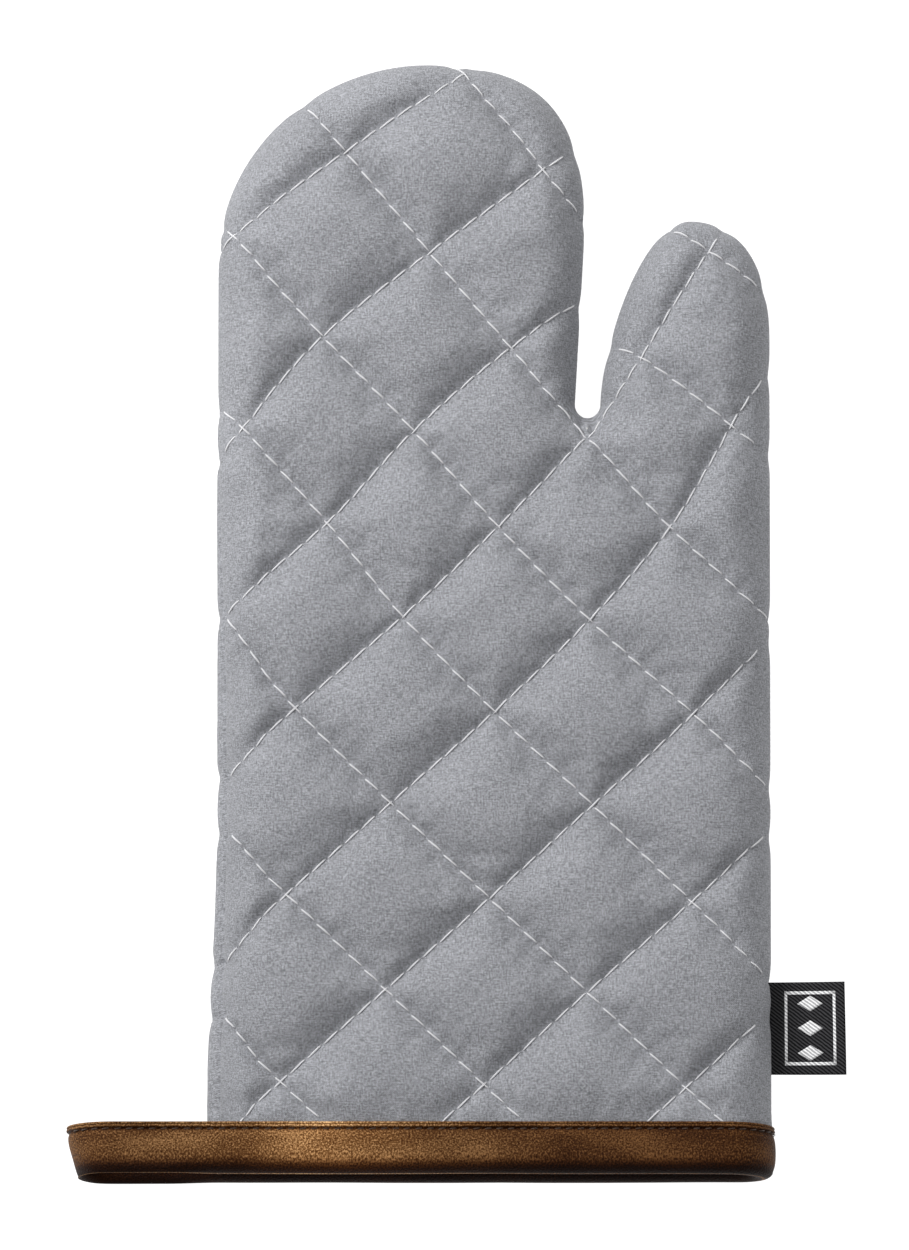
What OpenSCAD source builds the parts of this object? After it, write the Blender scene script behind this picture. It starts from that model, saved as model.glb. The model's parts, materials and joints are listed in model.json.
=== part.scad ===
// Quilted oven mitt, lying flat with its palm side up.
// The origin is the middle of the cuff edge, on the surface that the mitt lies on.
// +X points to the thumb side, +Y to the fingertips, +Z up through the palm.
// Each side is an outer cover, a batting and a lining. The covers are cut at the two
// crease lines, so that the finger pocket and the thumb can fold up from the palm.

/* [Mitt] */
// Length from the cuff edge to the fingertips
mitt_length = 333; // [312:1:400]
// Width across the palm
body_width = 164; // [150:1:200]
// Width of the finger pocket
finger_width = 109.4; // [100:0.2:120]
// Height of the crotch above the cuff edge
crotch_height = 227; // [188:1:236]
// Width of the slot between fingers and thumb
crotch_gap = 6.6; // [4.4:0.2:12]
// Height of the thumb tip above the cuff edge
thumb_height = 286; // [272:1:345]
// Extra width of the cuff on the loop side
cuff_flare = 3; // [0:0.5:8]

/* [Padding] */
// Radius that the palm side rolls over along its edges
palm_roll = 15; // [12:1:26]
// Radius that the back rolls over along its edges
back_roll = 11; // [9:0.5:14]
// Thickness of the cover fabric
cover_t = 0.6; // [0.4:0.1:0.8]
// Thickness of the batting
batting_t = 5; // [3:0.5:6]
// Thickness of the lining
lining_t = 0.5; // [0.3:0.1:0.8]

/* [Quilting] */
// Distance between neighbouring quilting lines
quilt_pitch = 38; // [30:1:60]
// Distance from one stitch to the next
stitch_pitch = 6.5; // [5:0.5:10]
// Length of one stitch
stitch_length = 4.2; // [2:0.2:4.4]
// Thickness of the sewing thread
thread_d = 0.5; // [0.3:0.1:0.6]

/* [Binding] */
// Height of the binding around the cuff
binding_h = 15; // [12:1:28]
// Thickness of the binding tape
binding_t = 0.9; // [0.6:0.1:1.4]
// Distance of the topstitching from the upper edge
topstitch_edge = 1.6; // [1:0.1:3]
// Distance from one topstitch to the next
topstitch_pitch = 3.4; // [2.8:0.2:6]

/* [Hanging loop] */
// Reach of the loop from the cuff
loop_reach = 41.6; // [32:1:60]
// Thickness of the doubled tape
loop_t = 1.6; // [1.2:0.1:2]
// Height of the opening at the fold
loop_gap = 12.8; // [6:0.2:16]

/* [Label] */
// Reach of the label from the seam
label_reach = 20.8; // [12:0.2:30]
// Height of the label along the seam
label_h = 27.4; // [16:0.2:40]
// Thickness of the folded label
label_t = 0.5; // [0.4:0.1:1]
// Height of the label above the cuff edge
label_y = 31; // [22:1:120]

/* [Hidden] */
$fn = 96;

// Clearances
layer_gap = 0.3;
section_gap = 0.4;
seam_gap = 0.8;
binding_gap = 0.2;
binding_lining_gap = 0.6;
swing_gap = 0.4;
stitch_gap = 0.05;

// Layers, as depths below the outer face
batting_depth = cover_t + layer_gap;
lining_depth = batting_depth + batting_t + layer_gap;
cavity_depth = lining_depth + lining_t;
seam_z = binding_t + binding_gap + back_roll;
cuff_y = binding_t + binding_gap;

// Outline
left_x = -body_width / 2;
right_x = body_width / 2;
hand_x = left_x + finger_width;
flare_end = 110;
crown_x = left_x + 63;
crown_left_y = mitt_length - 60;
crown_right_y = mitt_length - 50;
finger_taper = 3;
slot_r = crotch_gap / 2;
slot_x = hand_x - finger_taper + slot_r;
slot_y = crotch_height + slot_r;
thumb_tip_x = right_x - 24.2;
thumb_side_y = thumb_height - 36;
crown_left = [
    [left_x, crown_left_y],
    [left_x, crown_left_y + 33],
    [crown_x - 34.5, mitt_length],
    [crown_x, mitt_length]
];
crown_right = [
    [crown_x, mitt_length],
    [crown_x + 33, mitt_length],
    [hand_x, crown_right_y + 35.5],
    [hand_x, crown_right_y]
];
thumb_in = [
    [slot_x + slot_r, slot_y],
    [slot_x + slot_r, slot_y + 15.5],
    [thumb_tip_x - 14.8, thumb_height],
    [thumb_tip_x, thumb_height]
];
thumb_out = [
    [thumb_tip_x, thumb_height],
    [thumb_tip_x + 14.2, thumb_height],
    [right_x, thumb_height - 11],
    [right_x, thumb_side_y]
];

// Crease lines that the fingers and the thumb fold along
finger_fold_y = crotch_height + 21;
thumb_fold_low = [right_x, crotch_height - 35];
thumb_fold_high = [slot_x + 5.8, crotch_height + 11];
fold_along = unit(thumb_fold_low - thumb_fold_high);
fold_across = [-fold_along.y, fold_along.x];

// Mesh of one section: rows run across the mitt, columns along them
hand_cols = 16;
thumb_cols = 12;
low_rows = 7;
slot_rows = 3;
palm_rows = low_rows + slot_rows;
finger_rows = 11;
thumb_rows = 10;
right_block = (palm_rows + 1) * (hand_cols + 1);

// Quilting
quilt_down = -50.3;
quilt_up = 41.5;
quilt_origin = [1.2, 193.5];
quilt_margin = 5;
quilt_lift = 0.25;
quilt_lines = ceil((mitt_length + body_width) / quilt_pitch);

// Curves. Each runs clockwise round the mitt, so its right-hand side is inside.
function unit(v) = v / norm(v);
function blend(a, b, t) = a + (b - a) * t;
function bezier(p, t) =
    pow(1 - t, 3) * p[0] + 3 * t * pow(1 - t, 2) * p[1]
    + 3 * t * t * (1 - t) * p[2] + pow(t, 3) * p[3];
function bezier_slope(p, t) =
    pow(1 - t, 2) * (p[1] - p[0]) + 2 * t * (1 - t) * (p[2] - p[1]) + t * t * (p[3] - p[2]);
function inset_bezier(p, t, e) =
    let (d = unit(bezier_slope(p, t))) bezier(p, t) + e * [d.y, -d.x];

function flare(y) =
    y <= binding_h ? 1
    : y >= flare_end ? 0
    : (1 + cos(180 * (y - binding_h) / (flare_end - binding_h))) / 2;
function left_edge(y, e) = [left_x - cuff_flare * flare(y) + e, y];
function right_edge(y, e) = [right_x - e, y];
function hand_edge(y, e) =
    [hand_x - finger_taper * (crown_right_y - y) / (crown_right_y - slot_y) - e, y];
function slot_edge(a, e) = [slot_x, slot_y] + (slot_r + e) * [cos(a), sin(a)];

// The whole outline at the depth e, from below the cuff round to below the cuff
function outline(e) = concat(
    [left_edge(-body_width, e)],
    [for (k = [0:8]) left_edge(blend(binding_h, flare_end, k / 8), e)],
    [for (k = [0:16]) inset_bezier(crown_left, k / 16, e)],
    [for (k = [1:16]) inset_bezier(crown_right, k / 16, e)],
    [for (k = [0:8]) slot_edge(180 + 180 * k / 8, e)],
    [for (k = [1:14]) inset_bezier(thumb_in, k / 14, e)],
    [for (k = [1:12]) inset_bezier(thumb_out, k / 12, e)],
    [right_edge(-body_width, e)]
);

function segment_distance(p, a, b) =
    let (ab = b - a, t = max(0, min(1, ((p - a) * ab) / (ab * ab)))) norm(p - a - ab * t);
function edge_distance(p, path) =
    min([for (k = [0:len(path) - 2]) segment_distance(p, path[k], path[k + 1])]);
function crossings(p, path) =
    [for (k = [0:len(path) - 2])
        let (a = path[k], b = path[k + 1])
        if ((a.y > p.y) != (b.y > p.y) && p.x < a.x + (b.x - a.x) * (p.y - a.y) / (b.y - a.y)) 1];
function is_inside(p, path) = len(crossings(p, path)) % 2 == 1;

// Height of a rolled edge of radius r above the seam, at the distance d from it
function roll(d, r) = sqrt(r * r - pow(r - min(d, r), 2));

// Where the depth-e outline meets the thumb crease, g past it
function thumb_side(p) = (p - thumb_fold_low) * fold_across;
function crease_t(e, g, low, high, steps) =
    let (mid = (low + high) / 2)
    steps == 0 ? mid
    : thumb_side(inset_bezier(thumb_in, mid, e)) > g ? crease_t(e, g, low, mid, steps - 1)
    : crease_t(e, g, mid, high, steps - 1);
function crease_inner_t(e, g) = crease_t(e, g, 0, 0.6, 24);
function crease_outer_y(e, g) = thumb_fold_low.y + (g + e * fold_across.x) / fold_across.y;

// One row of mesh points, close together at both ends. The third value is 0 on the outline.
function row(a, b, cols, a_on_edge, b_on_edge) =
    [for (j = [0:cols])
        let (p = blend(a, b, (1 - cos(180 * j / cols)) / 2))
        [p.x, p.y, (j == 0 && a_on_edge) || (j == cols && b_on_edge) ? 0 : 1]];

// Palm: a left block under the fingers and a right block under the thumb share a column
function palm_left_y(i) =
    i <= low_rows ? blend(cuff_y, crotch_height - 12, i / low_rows)
    : blend(crotch_height - 12, finger_fold_y - section_gap / 2, (i - low_rows) / slot_rows);
function palm_right_y(i, e) =
    i <= low_rows ? blend(cuff_y, crotch_height - 52, i / low_rows)
    : blend(crotch_height - 52, crease_outer_y(e, -section_gap / 2), (i - low_rows) / slot_rows);
function palm_middle(i, e) = [slot_x, blend(cuff_y, crotch_height - e, i / low_rows)];
function palm_hand_end(i, e) =
    i <= low_rows ? palm_middle(i, e)
    : i < palm_rows ? slot_edge(270 - 45 * (i - low_rows), e)
    : hand_edge(finger_fold_y - section_gap / 2, e);
function palm_thumb_end(i, e) =
    i <= low_rows ? palm_middle(i, e)
    : i < palm_rows ? slot_edge(270 + 45 * (i - low_rows), e)
    : inset_bezier(thumb_in, crease_inner_t(e, -section_gap / 2), e);
function palm_grid(e) = concat(
    [for (i = [0:palm_rows])
        each row(left_edge(palm_left_y(i), e), palm_hand_end(i, e), hand_cols, true, i >= low_rows)],
    [for (i = [0:palm_rows])
        each row(palm_thumb_end(i, e), right_edge(palm_right_y(i, e), e), thumb_cols,
            i >= low_rows, true)]
);
function palm_l(i, j) = i * (hand_cols + 1) + j;
function palm_r(i, j) =
    j == 0 && i <= low_rows ? palm_l(i, hand_cols) : right_block + i * (thumb_cols + 1) + j;
palm_cells = concat(
    [for (i = [0:palm_rows - 1], j = [0:hand_cols - 1])
        [palm_l(i, j), palm_l(i, j + 1), palm_l(i + 1, j + 1), palm_l(i + 1, j)]],
    [for (i = [0:palm_rows - 1], j = [0:thumb_cols - 1])
        [palm_r(i, j), palm_r(i, j + 1), palm_r(i + 1, j + 1), palm_r(i + 1, j)]]
);
palm_rim = concat(
    [for (j = [0:hand_cols]) palm_l(0, j)],
    [for (j = [1:thumb_cols]) palm_r(0, j)],
    [for (i = [1:palm_rows]) palm_r(i, thumb_cols)],
    [for (j = [thumb_cols - 1:-1:0]) palm_r(palm_rows, j)],
    [for (i = [palm_rows - 1:-1:low_rows]) palm_r(i, 0)],
    [for (i = [low_rows + 1:palm_rows]) palm_l(i, hand_cols)],
    [for (j = [hand_cols - 1:-1:0]) palm_l(palm_rows, j)],
    [for (i = [palm_rows - 1:-1:1]) palm_l(i, 0)]
);

// Fingers and thumb: rows that end at one point, the tip
straight_share = 0.2;
function finger_left(s, e) =
    s <= straight_share
    ? left_edge(blend(finger_fold_y + section_gap / 2, crown_left_y, s / straight_share), e)
    : inset_bezier(crown_left, (s - straight_share) / (1 - straight_share), e);
function finger_right(s, e) =
    s <= straight_share
    ? hand_edge(blend(finger_fold_y + section_gap / 2, crown_right_y, s / straight_share), e)
    : inset_bezier(crown_right, 1 - (s - straight_share) / (1 - straight_share), e);
function finger_grid(e) = concat(
    [for (i = [0:finger_rows - 1])
        each row(finger_left(i / finger_rows, e), finger_right(i / finger_rows, e), hand_cols,
            true, true)],
    [[crown_x, mitt_length - e, 0]]
);
side_share = 0.4;
function thumb_inner(s, e) =
    inset_bezier(thumb_in, blend(crease_inner_t(e, section_gap / 2), 1, s), e);
function thumb_outer(s, e) =
    s <= side_share
    ? right_edge(blend(crease_outer_y(e, section_gap / 2), thumb_side_y, s / side_share), e)
    : inset_bezier(thumb_out, 1 - (s - side_share) / (1 - side_share), e);
function thumb_grid(e) = concat(
    [for (i = [0:thumb_rows - 1])
        each row(thumb_inner(i / thumb_rows, e), thumb_outer(i / thumb_rows, e), thumb_cols,
            true, true)],
    [[thumb_tip_x, thumb_height - e, 0]]
);
function pocket_cells(rows, cols) = concat(
    [for (i = [0:rows - 2], j = [0:cols - 1])
        let (a = i * (cols + 1) + j)
        [a, a + 1, a + cols + 2, a + cols + 1]],
    [for (j = [0:cols - 1])
        let (a = (rows - 1) * (cols + 1) + j)
        [a, a + 1, rows * (cols + 1)]]
);
function pocket_rim(rows, cols) = concat(
    [for (j = [0:cols]) j],
    [for (i = [1:rows - 1]) i * (cols + 1) + cols],
    [rows * (cols + 1)],
    [for (i = [rows - 1:-1:1]) i * (cols + 1)]
);

// A layer between two depths on one side: side is 1 for the front and -1 for the back
function skin(grid, e, side) =
    let (path = outline(e), r = (side > 0 ? palm_roll : back_roll) - e)
    [for (p = grid)
        let (h = p[2] == 0 ? 0 : roll(edge_distance([p.x, p.y], path), r))
        [p.x, p.y, seam_z + side * max(seam_gap / 2, h)]];
module layer(upper, lower, cells, rim) {
    n = len(upper);
    m = len(rim);
    top = [for (c = cells) each [for (k = [1:len(c) - 2]) [c[0], c[k + 1], c[k]]]];
    bottom = [for (c = cells) each [for (k = [1:len(c) - 2]) [n + c[0], n + c[k], n + c[k + 1]]]];
    wall = [for (k = [0:m - 1])
        let (a = rim[k], b = rim[(k + 1) % m])
        each [[a, b, n + b], [a, n + b, n + a]]];
    polyhedron(concat(upper, lower), concat(top, bottom, wall), convexity = 6);
}
module section_layer(outer_grid, inner_grid, outer_e, inner_e, side, cells, rim) {
    outer = skin(outer_grid, outer_e, side);
    inner = skin(inner_grid, inner_e, side);
    layer(side > 0 ? outer : inner, side > 0 ? inner : outer, cells, rim);
}
module palm_layer(outer_e, inner_e, side)
    section_layer(palm_grid(outer_e), palm_grid(inner_e), outer_e, inner_e, side,
        palm_cells, palm_rim);
module finger_layer(outer_e, inner_e, side)
    section_layer(finger_grid(outer_e), finger_grid(inner_e), outer_e, inner_e, side,
        pocket_cells(finger_rows, hand_cols), pocket_rim(finger_rows, hand_cols));
module thumb_layer(outer_e, inner_e, side)
    section_layer(thumb_grid(outer_e), thumb_grid(inner_e), outer_e, inner_e, side,
        pocket_cells(thumb_rows, thumb_cols), pocket_rim(thumb_rows, thumb_cols));

// Stitches: short bars that lie on the cover along the quilting lines
function in_section(p, name) =
    name == "fingers" ? p.y > finger_fold_y + 1 && p.x < slot_x
    : name == "thumb" ? thumb_side(p) > 1 && p.x > slot_x
    : p.y > binding_h + 2
        && (p.x < slot_x ? p.y < finger_fold_y - 1 : thumb_side(p) < -1);
function on_cover(p, path, side) =
    [p.x, p.y,
        seam_z + side * roll(edge_distance(p, path), side > 0 ? palm_roll : back_roll)];
function cover_normal(p, path, side) =
    let (
        o = on_cover(p, path, side),
        a = on_cover(p + [0.5, 0], path, side) - o,
        b = on_cover(p + [0, 0.5], path, side) - o
    )
    side * unit(cross(a, b));
function stitches(name, side) =
    let (path = outline(0))
    [for (angle = [quilt_down, quilt_up], line = [-quilt_lines:quilt_lines])
        let (
            along = [cos(angle), sin(angle)],
            start = quilt_origin + line * quilt_pitch * [-along.y, along.x]
        )
        for (k = [-quilt_lines * 6:quilt_lines * 6])
            let (
                p = start + (k * stitch_pitch + (stitch_pitch - stitch_length) / 2) * along,
                q = p + stitch_length * along
            )
            if (in_section(p, name) && in_section(q, name)
                && is_inside(p, path) && is_inside(q, path)
                && min(edge_distance(p, path), edge_distance(q, path)) > quilt_margin)
                [on_cover(p, path, side), on_cover(q, path, side),
                    cover_normal((p + q) / 2, path, side)]];
function bar_corners(s) =
    let (
        across = unit(cross(s[1] - s[0], s[2])) * thread_d / 2,
        low = s[2] * quilt_lift,
        ridge = s[2] * (quilt_lift + thread_d * 0.7)
    )
    [s[0] + low - across, s[0] + low + across, s[0] + ridge,
        s[1] + low - across, s[1] + low + across, s[1] + ridge];
bar_faces = [[0, 2, 1], [3, 4, 5], [0, 1, 4, 3], [1, 2, 5, 4], [2, 0, 3, 5]];
bar_size = 6;
module quilting(name, side) {
    bars = stitches(name, side);
    polyhedron(
        [for (s = bars) each bar_corners(s)],
        [for (k = [0:len(bars) - 1], f = bar_faces) [for (v = f) v + bar_size * k]],
        convexity = 6
    );
}

// Thread of the seam that joins front and back, between their layers
seam_inset = cover_t + layer_gap + batting_t / 2;
seam_sides = 6;
function seam_ring(path, k) =
    let (
        along = unit(path[min(k + 1, len(path) - 1)] - path[max(k - 1, 0)]),
        across = [along.y, -along.x]
    )
    [for (s = [0:seam_sides - 1])
        let (a = 360 * s / seam_sides, p = path[k] + across * cos(a) * thread_d / 2)
        [p.x, p.y, seam_z + sin(a) * thread_d / 2]];
module seam_run(path) {
    n = len(path);
    polyhedron(
        [for (k = [0:n - 1]) each seam_ring(path, k)],
        concat(
            [[for (s = [seam_sides - 1:-1:0]) s]],
            [[for (s = [0:seam_sides - 1]) (n - 1) * seam_sides + s]],
            [for (k = [0:n - 2], s = [0:seam_sides - 1])
                let (a = k * seam_sides + s, b = k * seam_sides + (s + 1) % seam_sides)
                each [[a, b + seam_sides, a + seam_sides], [a, b, b + seam_sides]]]
        ),
        convexity = 6
    );
}

// Cross-section of the mitt at the cuff, grown by g: X across, Y up from the seam
cuff_left_x = left_x - cuff_flare;
module half_section(r, g) {
    intersection() {
        translate([cuff_left_x - g, 0])
            square([right_x - cuff_left_x + 2 * g, r + g]);
        union() {
            translate([cuff_left_x + r, 0])
                circle(r + g);
            translate([right_x - r, 0])
                circle(r + g);
            translate([cuff_left_x + r, 0])
                square([right_x - cuff_left_x - 2 * r, r + g]);
        }
    }
}
module cuff_block(g, y_low, y_high) {
    translate([0, y_high, seam_z])
        rotate([90, 0, 0])
            linear_extrude(y_high - y_low) {
                half_section(palm_roll, g);
                mirror([0, 1])
                    half_section(back_roll, g);
            }
}

// The tape turns over the cuff edge and comes up again inside.
// Its topstitches lie in a shallow groove, so that nothing stands out below the resting face.
binding_inner_h = binding_h - 2;
groove_depth = 0.8 * thread_d;
groove_width = 2 * thread_d;
groove_y = binding_h - topstitch_edge - groove_width / 2;
module cuff_binding() {
    color("saddlebrown")
        difference() {
            cuff_block(binding_gap + binding_t, 0, binding_h);
            difference() {
                cuff_block(binding_gap + binding_t + 1, groove_y, groove_y + groove_width);
                cuff_block(binding_gap + binding_t - groove_depth, groove_y - 1, binding_h);
            }
            cuff_block(-cavity_depth - binding_lining_gap - binding_t, -1, binding_h + 1);
            difference() {
                cuff_block(binding_gap, binding_t, binding_h + 1);
                cuff_block(-cavity_depth - binding_lining_gap, 0, binding_inner_h);
            }
        }
}
topstitch_length = topstitch_pitch * 0.7;
topstitch_run = right_x - cuff_left_x - 2 * palm_roll;
module binding_topstitch() {
    count = floor(topstitch_run / topstitch_pitch);
    depth = binding_gap + binding_t - groove_depth + stitch_gap;
    color("burlywood")
        for (k = [0:count - 1], side = [1, -1])
            translate([
                cuff_left_x + palm_roll + (k + 0.15) * topstitch_pitch,
                binding_h - topstitch_edge - thread_d / 2,
                side > 0 ? seam_z + palm_roll + depth : seam_z - back_roll - depth - thread_d / 2
            ])
                cube([topstitch_length, thread_d, thread_d / 2]);
}

// The loop is the same tape, folded back at its end and sewn flat at the cuff
loop_root_r = loop_t;
loop_root_x = cuff_left_x - binding_gap - binding_t - swing_gap - loop_root_r;
loop_end_r = loop_gap / 2 + loop_t;
loop_end_x = cuff_left_x - loop_reach + loop_end_r;
loop_slit_r = 0.3;
loop_slit_x = loop_root_x - 6;
taper_steps = 24;
// Outline round two circles on the X axis, the second to the left of the first
function taper(x1, r1, x2, r2) =
    let (top = 90 - asin((r2 - r1) / (x1 - x2)))
    concat(
        [for (k = [0:taper_steps])
            let (a = -top + 2 * top * k / taper_steps) [x1 + r1 * cos(a), r1 * sin(a)]],
        [for (k = [0:taper_steps])
            let (a = top + (360 - 2 * top) * k / taper_steps) [x2 + r2 * cos(a), r2 * sin(a)]]
    );
module hanging_loop() {
    color("saddlebrown")
        translate([0, binding_h, seam_z])
            rotate([90, 0, 0])
                linear_extrude(binding_h)
                    difference() {
                        polygon(taper(loop_root_x, loop_root_r, loop_end_x, loop_end_r));
                        polygon(taper(loop_slit_x, loop_slit_r, loop_end_x, loop_gap / 2));
                    }
}
loop_tilt = asin((loop_end_r - loop_root_r) / (loop_root_x - loop_end_x));
module loop_topstitch() {
    run = loop_root_x - loop_end_x;
    count = floor(run / topstitch_pitch) - 1;
    color("burlywood")
        for (side = [1, -1], k = [0:count - 1])
            translate([loop_root_x, 0, seam_z])
                rotate([0, side * loop_tilt, 0])
                    translate([
                        -(k + 1) * topstitch_pitch - topstitch_length,
                        binding_h - topstitch_edge - thread_d / 2,
                        side > 0 ? loop_root_r + stitch_gap : -loop_root_r - stitch_gap - thread_d / 2
                    ])
                        cube([topstitch_length, thread_d, thread_d / 2]);
}

// Woven label, sewn into the side seam by one edge
label_root_x = right_x + swing_gap;
motif_margin = 2.2;
motif_line = 0.8;
motif_t = 0.1;
motif_count = 3;
module side_label() {
    color("black")
        translate([label_root_x, label_y, seam_z - label_t / 2])
            cube([label_reach, label_h, label_t]);
}
module label_motif() {
    w = label_reach - 2 * motif_margin;
    h = label_h - 2 * motif_margin;
    step = h / (motif_count + 1);
    size = min(w, step) * 0.5;
    color("white")
        translate([label_root_x + motif_margin, label_y + motif_margin, seam_z + label_t / 2 + 0.02]) {
            linear_extrude(motif_t)
                difference() {
                    square([w, h]);
                    translate([motif_line, motif_line])
                        square([w - 2 * motif_line, h - 2 * motif_line]);
                }
            for (k = [1:motif_count])
                translate([w / 2, k * step])
                    rotate(45)
                        translate([-size / 2, -size / 2])
                            cube([size, size, motif_t]);
        }
}

module front_cover_palm() { color("darkgray") palm_layer(0, cover_t, 1); }
module front_cover_fingers() { color("darkgray") finger_layer(0, cover_t, 1); }
module front_cover_thumb() { color("darkgray") thumb_layer(0, cover_t, 1); }
module back_cover_palm() { color("darkgray") palm_layer(0, cover_t, -1); }
module back_cover_fingers() { color("darkgray") finger_layer(0, cover_t, -1); }
module back_cover_thumb() { color("darkgray") thumb_layer(0, cover_t, -1); }

module front_batting_palm() { color("ivory") palm_layer(batting_depth, batting_depth + batting_t, 1); }
module front_batting_fingers() { color("ivory") finger_layer(batting_depth, batting_depth + batting_t, 1); }
module front_batting_thumb() { color("ivory") thumb_layer(batting_depth, batting_depth + batting_t, 1); }
module back_batting_palm() { color("ivory") palm_layer(batting_depth, batting_depth + batting_t, -1); }
module back_batting_fingers() { color("ivory") finger_layer(batting_depth, batting_depth + batting_t, -1); }
module back_batting_thumb() { color("ivory") thumb_layer(batting_depth, batting_depth + batting_t, -1); }

module front_lining_palm() { color("gainsboro") palm_layer(lining_depth, cavity_depth, 1); }
module front_lining_fingers() { color("gainsboro") finger_layer(lining_depth, cavity_depth, 1); }
module front_lining_thumb() { color("gainsboro") thumb_layer(lining_depth, cavity_depth, 1); }
module back_lining_palm() { color("gainsboro") palm_layer(lining_depth, cavity_depth, -1); }
module back_lining_fingers() { color("gainsboro") finger_layer(lining_depth, cavity_depth, -1); }
module back_lining_thumb() { color("gainsboro") thumb_layer(lining_depth, cavity_depth, -1); }

module front_quilting_palm() { color("white") quilting("palm", 1); }
module front_quilting_fingers() { color("white") quilting("fingers", 1); }
module front_quilting_thumb() { color("white") quilting("thumb", 1); }
module back_quilting_palm() { color("white") quilting("palm", -1); }
module back_quilting_fingers() { color("white") quilting("fingers", -1); }
module back_quilting_thumb() { color("white") quilting("thumb", -1); }

module seam_thread_palm() {
    color("white") {
        seam_run([for (k = [0:16])
            left_edge(blend(cuff_y + 1, finger_fold_y - 1, k / 16), seam_inset)]);
        seam_run(concat(
            [hand_edge(finger_fold_y - 1, seam_inset)],
            [for (k = [0:8]) slot_edge(180 + 180 * k / 8, seam_inset)],
            [inset_bezier(thumb_in, crease_inner_t(seam_inset, -1), seam_inset)]
        ));
        seam_run([for (k = [8:-1:0])
            right_edge(blend(cuff_y + 1, crease_outer_y(seam_inset, -1), k / 8), seam_inset)]);
    }
}
module seam_thread_fingers() {
    color("white")
        seam_run(concat(
            [left_edge(finger_fold_y + 1, seam_inset)],
            [for (k = [0:12]) inset_bezier(crown_left, k / 12, seam_inset)],
            [for (k = [1:12]) inset_bezier(crown_right, k / 12, seam_inset)],
            [hand_edge(finger_fold_y + 1, seam_inset)]
        ));
}
module seam_thread_thumb() {
    first = crease_inner_t(seam_inset, 1);
    color("white")
        seam_run(concat(
            [for (k = [0:12]) inset_bezier(thumb_in, blend(first, 1, k / 12), seam_inset)],
            [for (k = [1:12]) inset_bezier(thumb_out, k / 12, seam_inset)],
            [right_edge(crease_outer_y(seam_inset, 1), seam_inset)]
        ));
}

front_cover_palm();
front_cover_fingers();
front_cover_thumb();
back_cover_palm();
back_cover_fingers();
back_cover_thumb();
front_batting_palm();
front_batting_fingers();
front_batting_thumb();
back_batting_palm();
back_batting_fingers();
back_batting_thumb();
front_lining_palm();
front_lining_fingers();
front_lining_thumb();
back_lining_palm();
back_lining_fingers();
back_lining_thumb();
front_quilting_palm();
front_quilting_fingers();
front_quilting_thumb();
back_quilting_palm();
back_quilting_fingers();
back_quilting_thumb();
seam_thread_palm();
seam_thread_fingers();
seam_thread_thumb();
cuff_binding();
binding_topstitch();
hanging_loop();
loop_topstitch();
side_label();
label_motif();
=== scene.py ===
"""Looks of a quilted oven mitt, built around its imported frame.

Lengths inside this script are millimetres; pieces are handed over in metres.
"""
import json
import math
import random

import bmesh
import bpy
import numpy as np
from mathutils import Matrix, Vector, noise
from mathutils.bvhtree import BVHTree
from mathutils.geometry import delaunay_2d_cdt


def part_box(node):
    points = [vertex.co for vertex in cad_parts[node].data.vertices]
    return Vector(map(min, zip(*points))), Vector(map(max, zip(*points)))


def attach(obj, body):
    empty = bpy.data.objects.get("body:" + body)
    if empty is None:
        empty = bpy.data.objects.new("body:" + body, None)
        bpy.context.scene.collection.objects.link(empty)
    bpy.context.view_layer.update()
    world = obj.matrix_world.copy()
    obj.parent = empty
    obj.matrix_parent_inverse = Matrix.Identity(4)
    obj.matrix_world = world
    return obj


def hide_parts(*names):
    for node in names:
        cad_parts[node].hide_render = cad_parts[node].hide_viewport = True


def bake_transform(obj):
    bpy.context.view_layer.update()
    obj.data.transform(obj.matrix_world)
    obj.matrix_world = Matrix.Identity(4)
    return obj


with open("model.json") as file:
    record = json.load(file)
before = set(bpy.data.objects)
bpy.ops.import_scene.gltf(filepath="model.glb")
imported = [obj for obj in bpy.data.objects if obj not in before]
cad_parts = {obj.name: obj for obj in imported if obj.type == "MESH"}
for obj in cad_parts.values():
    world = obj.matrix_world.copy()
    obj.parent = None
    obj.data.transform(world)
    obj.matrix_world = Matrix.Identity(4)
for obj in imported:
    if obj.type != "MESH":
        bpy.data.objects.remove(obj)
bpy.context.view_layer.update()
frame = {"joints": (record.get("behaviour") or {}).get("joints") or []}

MM = 0.001
random.seed(5)
scene = bpy.context.scene


# ---- sizes from the frame

def box_mm(node):
    """Lowest and highest corner of a node, in millimetres."""
    low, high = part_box(node)
    return np.array(low) / MM, np.array(high) / MM


palm_low, palm_high = box_mm("front_cover_palm")
back_low, _ = box_mm("back_cover_palm")
_, tip_high = box_mm("front_cover_fingers")
_, thumb_high = box_mm("front_cover_thumb")
_, binding_high = box_mm("cuff_binding")
loop_low, _ = box_mm("hanging_loop")
label_low, label_high = box_mm("side_label")
joints = {j["name"]: np.array(j["pos_m"]) / MM for j in frame["joints"]}

SEAM_Z = joints["loop_swing"][2]
FRONT_R = palm_high[2] - SEAM_Z
BACK_R = SEAM_Z - back_low[2]
RIGHT_X = palm_high[0]
LEFT_X = -RIGHT_X
FLARE = LEFT_X - palm_low[0]
CUFF_Y = palm_low[1]
TIP_Y = tip_high[1]
THUMB_Y = thumb_high[1]
BINDING_Y = binding_high[1]
CROTCH_Y = joints["finger_fold"][1] - 21    # bottom of the slot, below the fingers' crease
SLOT_X, SLOT_R = 27.7, 3.3                  # middle of the slot, and half its width
HAND_W = 109.4                              # width of the finger pocket
FLARE_Y = 110                               # below this height the left side widens
STITCH_PITCH = 6.5                          # quilting stitches
TAPE_PITCH = 3.4                            # stitches of the binding tape


# ---- small maths

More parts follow.
